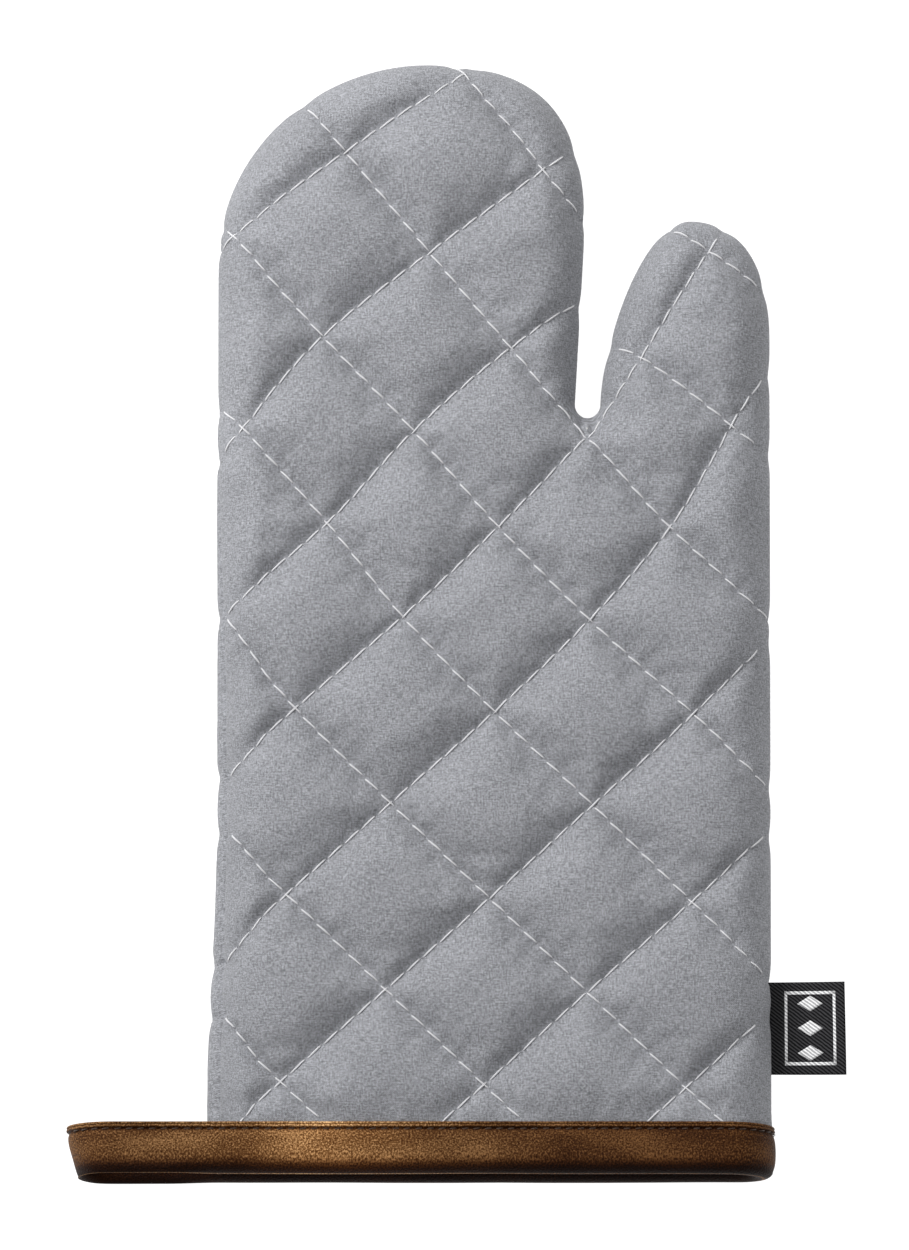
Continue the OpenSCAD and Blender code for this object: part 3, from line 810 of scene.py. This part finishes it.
def ring_path(step):
    """The tape's way round the cuff and out to the loop, seen along the mitt, as (x, z)."""
    top = SEAM_Z + FRONT_R
    low = SEAM_Z - BACK_R
    loop_z = (top + low) / 2
    loop_r = (top - low) / 2
    loop_x = LOOP_END_X + 1.4 + loop_r

    def turn(cx, cz, rx, rz, start, end, count=40):
        a = np.radians(np.linspace(start, end, count))
        return np.stack([cx + rx * np.cos(a), cz + rz * np.sin(a)], 1)

    path = np.concatenate([
        [[0.0, low]],
        turn(loop_x, loop_z, loop_r, loop_r, 270, 90, 60),
        turn(RIGHT_X - FRONT_R, SEAM_Z, FRONT_R, FRONT_R, 90, 0),
        turn(RIGHT_X - BACK_R, SEAM_Z, BACK_R, BACK_R, 0, -90)[1:],
        [[0.0, low]],
    ])
    return resample(path, step)


def loop_share(x):
    """0 on the mitt's cuff, 1 on the free loop."""
    return smooth((LEFT_X + 2 - x) / 16)


def tape_profile(deep, fold):
    """Half-hard tape folded over an edge: (outward, up) points of its closed section.

    deep is how far in the inner leg lies, fold the height of the rounded bottom.
    """
    y = BINDING_Y
    outer = [(0.25, y + 0.15), (0.62, y + 0.1), (0.86, y - 0.15), (0.8, y - 0.5), (0.5, y - 0.68),
             (0.72, y - 0.82), (0.98, y - 1.05), (0.92, y - 1.4), (0.45, y - 1.68), (0.2, y - 1.95),
             (0.28, y - 2.3), (0.62, y - 2.9), (0.86, y - 4.0), (0.98, y - 5.6), (1.0, y - 7.4),
             (0.95, y - 9.0)]
    start = y - 9.0
    r = deep / 2 + 0.5
    centre = 0.95 - r
    down = [y - p[1] for p in outer]
    for a in np.linspace(0, np.pi, 17)[1:]:
        bulge = abs(math.sin(a)) ** 0.8
        rise = start if a < np.pi / 2 else fold
        outer.append((centre + r * math.cos(a), rise * (1 - bulge)))
        down.append(9 + (FOLD_AT - 9) * a * 2 / np.pi)
    outer += [(centre - r, fold + 2.5), (centre - r + 0.05, y - 5.0), (centre - r, y - 2.0)]
    down += [FOLD_AT * 2 - 9 + k for k in (2, 4, 6)]
    outer = np.array(outer)
    inner = outer + edge_normals(outer) * TAPE_T
    inner[0] = outer[0] + [-0.25, -0.35]
    # The inner side's cross coordinate starts at 30, past the span of the painted light across the tape,
    # so the inner side takes painted shade.
    return np.concatenate([outer, inner[::-1]]), np.concatenate([down, np.array(down[::-1]) + 30])


def tape_frame(step):
    """Points, outward normals and running length of the ring."""
    path = ring_path(step)[:-1]
    along = unit(np.roll(path, -1, 0) - np.roll(path, 1, 0))
    normal = np.stack([-along[:, 1], along[:, 0]], 1)
    return path, normal, travelled(path)


def tape_ring():
    path, normal, run = tape_frame(TAPE_STEP)
    # Slow unevenness of hand-fed tape: outward, and up or down at its fold.
    out = 0.22 * ripple(run, run * 0, 31, 2.0) + 0.12 * ripple(run, run * 0, 11, 7.0)
    down = 0.3 * ripple(run, run * 0, 40, 12.0)
    share = loop_share(path[:, 0])
    verts, uv = [], []
    for p, n, s, o, dn, part in zip(path, normal, run, out, down, share):
        deep = 7.4 * (1 - part) + 1.6 * part
        section, across = tape_profile(deep, 5.0 * (1 - part) + 3.0 * part)
        y = section[:, 1].copy()
        off = TAPE_GAP + section[:, 0] + o * np.exp(-((y - BINDING_Y * 0.45) / 4) ** 2)
        off -= 0.5 * n[0] ** 2 * (section[:, 0] > 0)
        y += dn * smooth((BINDING_Y * 0.5 - y) / 6)
        y = np.maximum(y, 0.0)
        z = np.maximum(p[1] + n[1] * off, 0.02)
        lean = 3.0 * smooth((LOOP_END_X + 12 - p[0]) / 12) * smooth(1 - y / BINDING_Y)
        verts.append(np.stack([p[0] + n[0] * off + lean, y, z], 1))
        uv.append(np.stack([np.full(len(across), s), across], 1))
    faces = sleeve(len(verts) + 1, len(verts[0]))
    verts.append(verts[0])
    uv.append(uv[0] + [run[-1] + TAPE_STEP, 0])
    obj = link("cuff_tape", np.concatenate(verts), faces, np.concatenate(uv))
    weld(obj)
    obj.modifiers.new("round", "SUBSURF").levels = 1
    obj.modifiers["round"].render_levels = 1
    dress(obj, "brown_leather", loop_blend, "cuff_binding", "hanging_loop")


def loop_blend(obj):
    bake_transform(obj)


def side_tape():
    """The tape's other end, over the cuff's left side inside the loop."""
    a = np.radians(np.linspace(84, 276, 60))
    rx = np.where(np.sin(a) > 0, FRONT_R, BACK_R)
    left = LEFT_X - FLARE
    path = np.stack([left + rx + rx * np.cos(a), SEAM_Z + rx * np.sin(a)], 1)
    normal = -edge_normals(path)
    turned = (normal * (path - [left + 14, SEAM_Z])).sum(1, keepdims=True) < 0
    normal = np.where(turned, -normal, normal)
    section, across = tape_profile(6.2, 4.0)
    verts, uv = [], []
    for k, (p, n) in enumerate(zip(path, normal)):
        off = section[:, 0] * 0.8 - 0.9
        y = section[:, 1] * 0.84 + 2.0
        verts.append(np.stack([p[0] + n[0] * off, y, np.maximum(p[1] + n[1] * off, 0.3)], 1))
        uv.append(np.stack([np.full(len(off), k * 0.7), across], 1))
    m, count = len(section), len(section) * len(path)
    faces = sleeve(len(path), m) + [list(range(m)), list(range(count - m, count))[::-1]]
    obj = link("side_tape", np.concatenate(verts), [f[::-1] for f in faces], np.concatenate(uv))
    dress(obj, "brown_leather", lambda piece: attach(piece, "palm"))


def tape_stitches():
    """Machine stitches in the groove under the tape's rolled edge, all the way round."""
    path, normal, run = tape_frame(0.5)
    pile = Pile()
    for k in range(int((run[-1] + 0.5) / TAPE_PITCH)):
        at = (k + np.linspace(0.14, 0.86, 6)) * TAPE_PITCH + random.uniform(-0.1, 0.1)
        at = np.clip(at, 0, run[-1])
        p, n = sample(at, run, path), unit(sample(at, run, normal))
        if p[:, 0].min() < LOOP_END_X + 2.4:
            continue
        t = np.linspace(-1, 1, 6)
        off = TAPE_GAP + 0.34 - 0.5 * t**4
        y = BINDING_Y - 1.95 + 0.16 * t
        z = np.maximum(p[:, 1] + n[:, 1] * off, 0.25)
        line = np.stack([p[:, 0] + n[:, 0] * off, y, z], 1)
        pile.add(*tube(line, 0.21 * np.array([0.6, 0.95, 1, 1, 0.95, 0.6]), (0, 1, 0)))
    dress(pile.link("tape_stitches"), "tan_thread", loop_blend, "binding_topstitch", "loop_topstitch")


# ---- side label

LABEL_ROOT = 2.5              # length inside the seam
LABEL_W = label_high[0] - label_low[0] + LABEL_ROOT
LABEL_H = label_high[1] - label_low[1]
LABEL_CUT = (23.3, 27.4)      # the same size rounded, for the weave


def on_label(u, v, lift=0.0):
    """A place on the label, which curls up a little towards its free edge."""
    x = label_low[0] - LABEL_ROOT + u * LABEL_W * (1.02 - 0.02 * v)
    y = label_low[1] + v * LABEL_H + 0.35 * u * (v - 0.5)
    z = SEAM_Z + 1.3 * u**2 + 0.5 * np.sin(v * np.pi * 1.1 + 0.4) * u + lift
    return np.stack(np.broadcast_arrays(x, y, z), -1)


def label_blend(obj):
    """Bakes the label's placement into its points."""
    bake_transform(obj)


def label():
    nu, nv = 26, 34
    u, v = np.meshgrid(np.linspace(0, 1, nu), np.linspace(0, 1, nv))
    u, v = u.ravel(), v.ravel()
    edge = np.minimum(np.minimum(1 - u, v), 1 - v)
    half = 0.24 * (0.45 + 0.55 * smooth(edge / 0.03))
    top, low = on_label(u, v, half), on_label(u, v, -half)
    uv = np.stack([u, v], 1) * LABEL_CUT
    obj = link("side_label_tab", np.concatenate([top, low]), closed(grid_faces(nu, nv), len(u)),
               np.concatenate([uv, uv]))
    dress(obj, "label_weave", label_blend, "side_label")


def motif_patch(pile, corners, rows=6):
    """A woven figure: a four-sided patch of the label, given by its corners in (u, v)."""
    c = np.array(corners, float)
    s, t = np.meshgrid(np.linspace(0, 1, rows), np.linspace(0, 1, rows))
    s, t = s.ravel()[:, None], t.ravel()[:, None]
    uv = (1 - s) * (1 - t) * c[0] + s * (1 - t) * c[1] + s * t * c[2] + (1 - s) * t * c[3]
    top = on_label(uv[:, 0], uv[:, 1], 0.28)
    low = on_label(uv[:, 0], uv[:, 1], 0.2)
    flat = uv * LABEL_CUT
    pile.add(np.concatenate([top, low]), closed(grid_faces(rows, rows), len(uv)),
             np.concatenate([flat, flat]))


def motif():
    """Generic woven figures: a narrow frame round three diamonds."""
    pile = Pile()
    left, right, low, high, w = 0.24, 0.88, 0.1, 0.9, 0.035
    for x0, y0, x1, y1 in ((left, low, right, low + w), (left, high - w, right, high),
                           (left, low + w, left + w, high - w), (right - w, low + w, right, high - w)):
        motif_patch(pile, [(x0, y0), (x1, y0), (x1, y1), (x0, y1)])
    mid = (left + right) / 2
    for k in range(3):
        v = low + (high - low) * (k + 0.5) / 3
        motif_patch(pile, [(mid, v - 0.085), (mid + 0.16, v), (mid, v + 0.085), (mid - 0.16, v)])
    dress(pile.link("side_label_figures"), "label_thread", label_blend, "label_motif")


# ---- materials

class Shader:
    """A short way to build a node material."""

    def __init__(self, name, **values):
        self.material = bpy.data.materials.new(name)
        self.material.use_nodes = True
        self.tree = self.material.node_tree
        self.bsdf = self.tree.nodes["Principled BSDF"]
        for key, value in values.items():
            self.bsdf.inputs[key.replace("_", " ")].default_value = value
        self.uv = self.node("ShaderNodeUVMap", uv_map="cloth").outputs[0]

    def node(self, kind, inputs=(), **settings):
        made = self.tree.nodes.new(kind)
        for key, value in settings.items():
            setattr(made, key, value)
        for key, value in dict(inputs).items():
            if isinstance(value, bpy.types.NodeSocket):
                self.tree.links.new(value, made.inputs[key])
            else:
                made.inputs[key].default_value = value
        return made

    def math(self, operation, a, b=0.0, c=0.0):
        return self.node("ShaderNodeMath", {0: a, 1: b, 2: c}, operation=operation).outputs[0]

    def scaled(self, x, y, turn=0.0):
        inputs = {"Vector": self.uv, "Scale": (x, y, 1.0), "Rotation": (0, 0, turn)}
        return self.node("ShaderNodeMapping", inputs).outputs[0]

    def noise(self, vector, detail=2.0, rough=0.5, scale=1.0):
        inputs = {"Vector": vector, "Scale": scale, "Detail": detail, "Roughness": rough}
        return self.node("ShaderNodeTexNoise", inputs).outputs["Fac"]

    def wave(self, vector, scale=1.0, distortion=0.0):
        inputs = {"Vector": vector, "Scale": scale, "Distortion": distortion, "Detail": 1.0,
                  "Detail Scale": 1.0}
        return self.node("ShaderNodeTexWave", inputs).outputs["Fac"]

    def ramp(self, factor, stops):
        made = self.node("ShaderNodeValToRGB", {"Fac": factor})
        elements = made.color_ramp.elements
        for end, (position, colour) in ((elements[0], stops[0]), (elements[1], stops[-1])):
            end.position, end.color = position, (*colour, 1)
        for position, colour in stops[1:-1]:
            elements.new(position).color = (*colour, 1)
        return made.outputs["Color"]

    def times(self, a, b):
        made = self.node("ShaderNodeMix", {6: a, 7: b, 0: 1.0}, data_type="RGBA", blend_type="MULTIPLY")
        return made.outputs[2]

    def colour(self, socket):
        self.tree.links.new(socket, self.bsdf.inputs["Base Color"])

    def bump(self, height, distance):
        """Relief of that depth in metres, on top of any relief already there."""
        made = self.node("ShaderNodeBump", {"Height": height, "Distance": distance})
        before = self.bsdf.inputs["Normal"].links
        if before:
            self.tree.links.new(before[0].from_socket, made.inputs["Normal"])
        self.tree.links.new(made.outputs[0], self.bsdf.inputs["Normal"])


def shade(colour, factor):
    return tuple(c * factor for c in colour)


def woven(name, colour, pitch, contrast, depth):
    """Plain weave: threads over and under, with slubs both ways."""
    s = Shader(name, Roughness=0.88, Sheen_Weight=0.12, Sheen_Roughness=0.5, Specular_IOR_Level=0.25)
    turns = 2 * math.pi / pitch
    parts = s.node("ShaderNodeSeparateXYZ", {0: s.uv})
    drift = s.noise(s.scaled(0.25, 0.25), 2.0)
    x = s.math("SINE", s.math("MULTIPLY_ADD", parts.outputs[0], turns, s.math("MULTIPLY", drift, 5.0)))
    y = s.math("SINE", s.math("MULTIPLY_ADD", parts.outputs[1], turns, s.math("MULTIPLY", drift, 5.0)))
    weave = s.math("MULTIPLY_ADD", s.math("MULTIPLY", x, y), 0.5, 0.5)
    warp = s.noise(s.scaled(2.5, 0.5), 2.0, 0.6)
    weft = s.noise(s.scaled(0.45, 2.6), 2.0, 0.6)
    slub = s.math("MULTIPLY_ADD", s.math("ADD", warp, weft), 0.5, 0.0)
    patches = s.noise(s.scaled(0.045, 0.06), 3.0)
    fleck = s.noise(s.scaled(1.9, 2.0), 2.0, 0.7)
    mix = s.math("MULTIPLY_ADD", slub, 0.95, s.math("MULTIPLY", fleck, 0.75))
    mix = s.math("ADD", s.math("MULTIPLY_ADD", weave, 0.12, mix), s.math("MULTIPLY", patches, 0.12))
    tones = [(0.44, shade(colour, 1 - contrast)), (0.54, colour), (0.64, shade(colour, 1 + contrast))]
    s.colour(s.ramp(s.math("MULTIPLY", mix, 0.54), tones))
    s.bump(weave, depth)
    s.bump(slub, depth * 4)
    s.bump(fleck, depth * 2)
    return s.material


def batting_material():
    s = Shader("batting_fibre", Roughness=0.95, Sheen_Weight=0.3)
    fibre = s.noise(s.scaled(0.9, 2.4), 6.0, 0.7)
    s.colour(s.ramp(fibre, [(0.2, (0.66, 0.65, 0.61)), (0.8, (0.86, 0.85, 0.81))]))
    s.bump(fibre, 0.0006)
    return s.material


def thread_material(name, colour, twist):
    """Twisted thread: a slanted wave along the tube."""
    s = Shader(name, Roughness=0.55, Sheen_Weight=0.1)
    ply = s.wave(s.scaled(twist, 1.0, turn=0.6), 1.0)
    s.colour(s.ramp(ply, [(0.0, shade(colour, 0.72)), (0.6, colour), (1.0, shade(colour, 1.06))]))
    s.bump(ply, 0.00012)
    return s.material


PAINTED_LIGHT_SPAN = 24.0    # width of tape that the painted highlights and shade across it are laid out over


def leather_material():
    """Leather-look tape: speckled grain, a painted sheen along the cuff's front, painted highlights on
    the upper edge's beads and the fold's edge, and painted shade in the grooves, where it rolls under
    and on its inner side.
    """
    s = Shader("brown_leather_look", Roughness=0.55, Specular_IOR_Level=0.05)
    inputs = {"Vector": s.scaled(1.0, 1.0), "Scale": 1.5, "Randomness": 1.0}
    cells = s.node("ShaderNodeTexVoronoi", inputs, feature="F1").outputs["Distance"]
    pebble = s.noise(s.scaled(1.0, 1.0), 3.0, 0.7, scale=1.9)
    grain = s.math("MULTIPLY_ADD", cells, -0.8, pebble)
    broad = s.noise(s.scaled(0.04, 0.13), 3.0)
    tone = s.math("MULTIPLY_ADD", broad, 0.3, s.math("MULTIPLY", pebble, 0.85))
    base = s.ramp(tone, [(0.45, (0.034, 0.010, 0.002)), (0.57, (0.098, 0.041, 0.012)),
                         (0.69, (0.31, 0.165, 0.068))])
    parts = s.node("ShaderNodeSeparateXYZ", {0: s.uv})

    def stops(pairs, span, always):
        """Brown fades to a redder brown: green and blue fall faster than red."""
        out = []
        for at, k in pairs:
            powers = (1, 1.25, 1.5) if k < 1 or always else (1, 1.06, 1.1)
            out.append((at / span, tuple(k ** p for p in powers)))
        return out

    # Places are millimetres across the tape from its upper edge, and x along the cuff's front.
    # Painted light across the tape: painted highlights on the two beads of its upper edge and on the
    # fold's bottom edge, painted shade in the grooves beside the beads, where it rolls under, and over
    # its inner leg and inner side.
    light_and_shade_across = [(0, 1.4), (0.45, 1.6), (0.62, 0.3), (0.8, 1.3), (1.2, 1.4), (1.5, 0.4), (1.95, 0.2),
            (2.5, 0.75), (3.2, 0.95), (7.5, 1.05), (9.6, 0.9), (10.4, 0.56), (11.1, 0.28), (11.9, 0.14),
            (12.8, 0.09), (15.0, 0.09), (15.4, 1.5), (16.0, 1.5), (16.3, 0.13), (PAINTED_LIGHT_SPAN, 0.13)]
    path, _, run = tape_frame(TAPE_STEP)
    total = float(run[-1])
    front = np.where((path[:, 1] > SEAM_Z) & (path[:, 0] < RIGHT_X - FRONT_R))[0]
    front = front[np.argsort(path[front, 0])]
    # A painted highlight along the cuff's front: a broad sheen, lightest left of the middle and darker
    # towards the right, given by x and read off along the tape.
    patch = [(-115, 0.8), (-98, 0.95), (-76, 1.2), (-50, 1.9), (-32, 1.4), (-12, 0.95), (14, 0.6),
             (60, 0.5)]
    along = [(float(np.interp(x, path[front, 0], run[front])), k) for x, k in patch]
    along = [(0, 0.5), *sorted(along), (total, 0.5)]
    drift = s.math("MULTIPLY_ADD", s.noise(s.scaled(0.05, 0.2), 3.0), 24.0, -12.0)
    place = s.math("DIVIDE", s.math("ADD", parts.outputs[0], drift), total)
    # Painted highlight and shade across the tape, then a painted sheen along it, over the grain's
    # colour.
    edge = s.ramp(s.math("DIVIDE", parts.outputs[1], PAINTED_LIGHT_SPAN), stops(light_and_shade_across, PAINTED_LIGHT_SPAN, True))
    sheen_tone = s.ramp(place, stops(along, total, False))
    s.colour(s.times(s.times(base, edge), sheen_tone))
    s.bump(grain, 0.0003)
    return s.material


def label_material(name, dark, light):
    """Woven ribbon with a slanted twill rib."""
    s = Shader(name, Roughness=0.75, Specular_IOR_Level=0.1)
    twill = s.wave(s.scaled(1.0, 1.0, turn=math.radians(-52)), 0.36, 1.2)
    fleck = s.noise(s.scaled(1.6, 1.6), 3.0, 0.7)
    mix = s.math("MULTIPLY_ADD", twill, 0.45, s.math("MULTIPLY", fleck, 0.55))
    s.colour(s.ramp(mix, [(0.38, dark), (0.66, light)]))
    s.bump(mix, 0.0002)
    return s.material


# By slot.
MATERIAL = {
    "cover_fabric": woven("cover_weave", (0.256, 0.261, 0.279), 0.58, 0.5, 0.00005),
    "lining": woven("lining_weave", (0.46, 0.47, 0.49), 0.5, 0.08, 0.00003),
    "batting": batting_material(),
    "white_thread": thread_material("white_thread_twist", (0.74, 0.74, 0.76), 0.9),
    "tan_thread": thread_material("brown_thread_twist", (0.06, 0.026, 0.01), 1.2),
    "brown_leather": leather_material(),
    "label_weave": label_material("black_twill", (0.002, 0.002, 0.0025), (0.045, 0.045, 0.048)),
    "label_thread": label_material("white_twill", (0.35, 0.35, 0.36), (0.88, 0.88, 0.88)),
}


# ---- stage, light, camera

FLOOR_HALF = 3000.0   # half the floor's side
FLOOR_Z = -0.05
KEY = 30.0            # watts of the key light


def stage():
    """A white light table under the mitt, so that it lies without a shadow."""
    s = Shader("light_table", Base_Color=(0.2, 0.2, 0.2, 1), Roughness=0.9, Specular_IOR_Level=0.1,
               Emission_Color=(1, 1, 1, 1), Emission_Strength=1.0)
    corners = np.array([(0, 0), (1, 0), (1, 1), (0, 1)])
    place = np.column_stack([(corners * 2 - 1) * FLOOR_HALF, [FLOOR_Z] * 4])
    floor = link("floor", place, [(0, 1, 2, 3)], corners)
    floor.data.materials.append(s.material)


def area_light(name, place, aim, size, power):
    data = bpy.data.lights.new(name, "AREA")
    data.shape = "DISK"
    data.size = size
    data.energy = power
    lamp = bpy.data.objects.new(name, data)
    lamp.location = place
    lamp.rotation_euler = (Vector(aim) - Vector(place)).to_track_quat("-Z", "Y").to_euler()
    scene.collection.objects.link(lamp)


def lights():
    middle = (0, 0.16, 0)
    area_light("key_light", (-0.95, 0.95, 1.05), middle, 0.7, KEY)
    area_light("fill_light", (0.9, 0.5, 1.3), middle, 1.6, KEY * 0.2)
    world = bpy.data.worlds.new("studio")
    world.use_nodes = True
    colour, strength = world.node_tree.nodes["Background"].inputs[:2]
    colour.default_value = (1, 1, 1, 1)
    strength.default_value = 0.46
    scene.world = world


def camera():
    """A long lens above the mitt, tipped a little towards the cuff's opening."""
    height = 369.0              # millimetres in view, top to bottom
    distance = 6.0              # metres
    tip = math.radians(81.0)    # above the horizon
    target = Vector((-11.65, 164.7, 14.0)) * MM
    data = bpy.data.cameras.new("camera")
    data.sensor_fit = "VERTICAL"
    data.sensor_height = 24.0
    data.lens = 24.0 * distance / (height * MM)
    data.clip_end = 20
    cam = bpy.data.objects.new("camera", data)
    cam.location = target + Vector((0, -math.cos(tip), math.sin(tip))) * distance
    cam.rotation_euler = (target - cam.location).to_track_quat("-Z", "Y").to_euler()
    scene.collection.objects.link(cam)
    scene.camera = cam
    scene.view_settings.view_transform = "Standard"


camera()
stage()
lights()
for each in (1, -1):
    build_side(each)
seam_thread()
tape_ring()
side_tape()
tape_stitches()
label()
motif()

bpy.context.view_layer.update()
